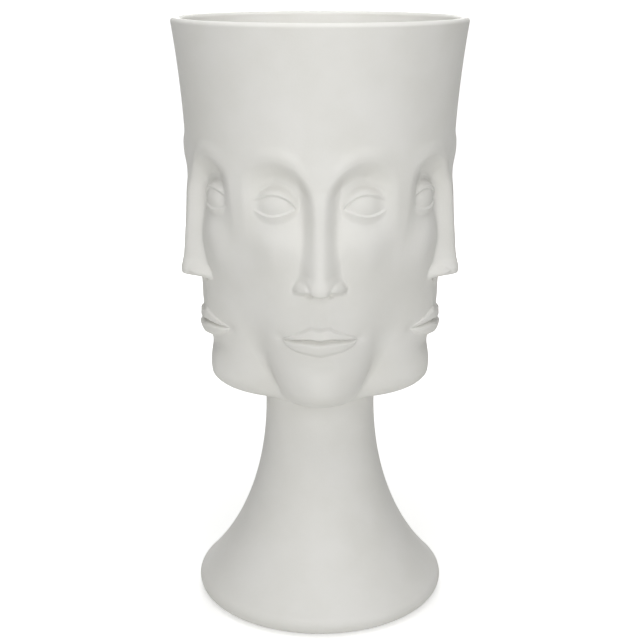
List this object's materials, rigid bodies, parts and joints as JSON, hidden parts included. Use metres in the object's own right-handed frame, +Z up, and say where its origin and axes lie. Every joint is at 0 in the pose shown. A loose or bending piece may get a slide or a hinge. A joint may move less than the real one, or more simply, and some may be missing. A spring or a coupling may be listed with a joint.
{
  "type": "face vase",
  "caption": "Matte white footed vase: an open flared cup above a ring of calm relief faces, on a hollow bell-shaped pedestal, for cut or dried flowers.",
  "frame": {"origin": "centre of the foot ring, on the surface that the vase stands on", "axes": "+Z up along the turning axis, -Y towards the front face, +X to the right of someone who looks at the front face"},
  "size_m": [0.164, 0.164, 0.34],
  "materials": {
    "bisque_porcelain": "matte unglazed porcelain, slip-cast and fettled smooth"
  },
  "bodies": {
    "root": {"cup": "bisque_porcelain", "pedestal": "bisque_porcelain", "face_front": "bisque_porcelain", "face_right": "bisque_porcelain", "face_back_right": "bisque_porcelain", "face_back_left": "bisque_porcelain", "face_left": "bisque_porcelain"}
  },
  "joints": []
}
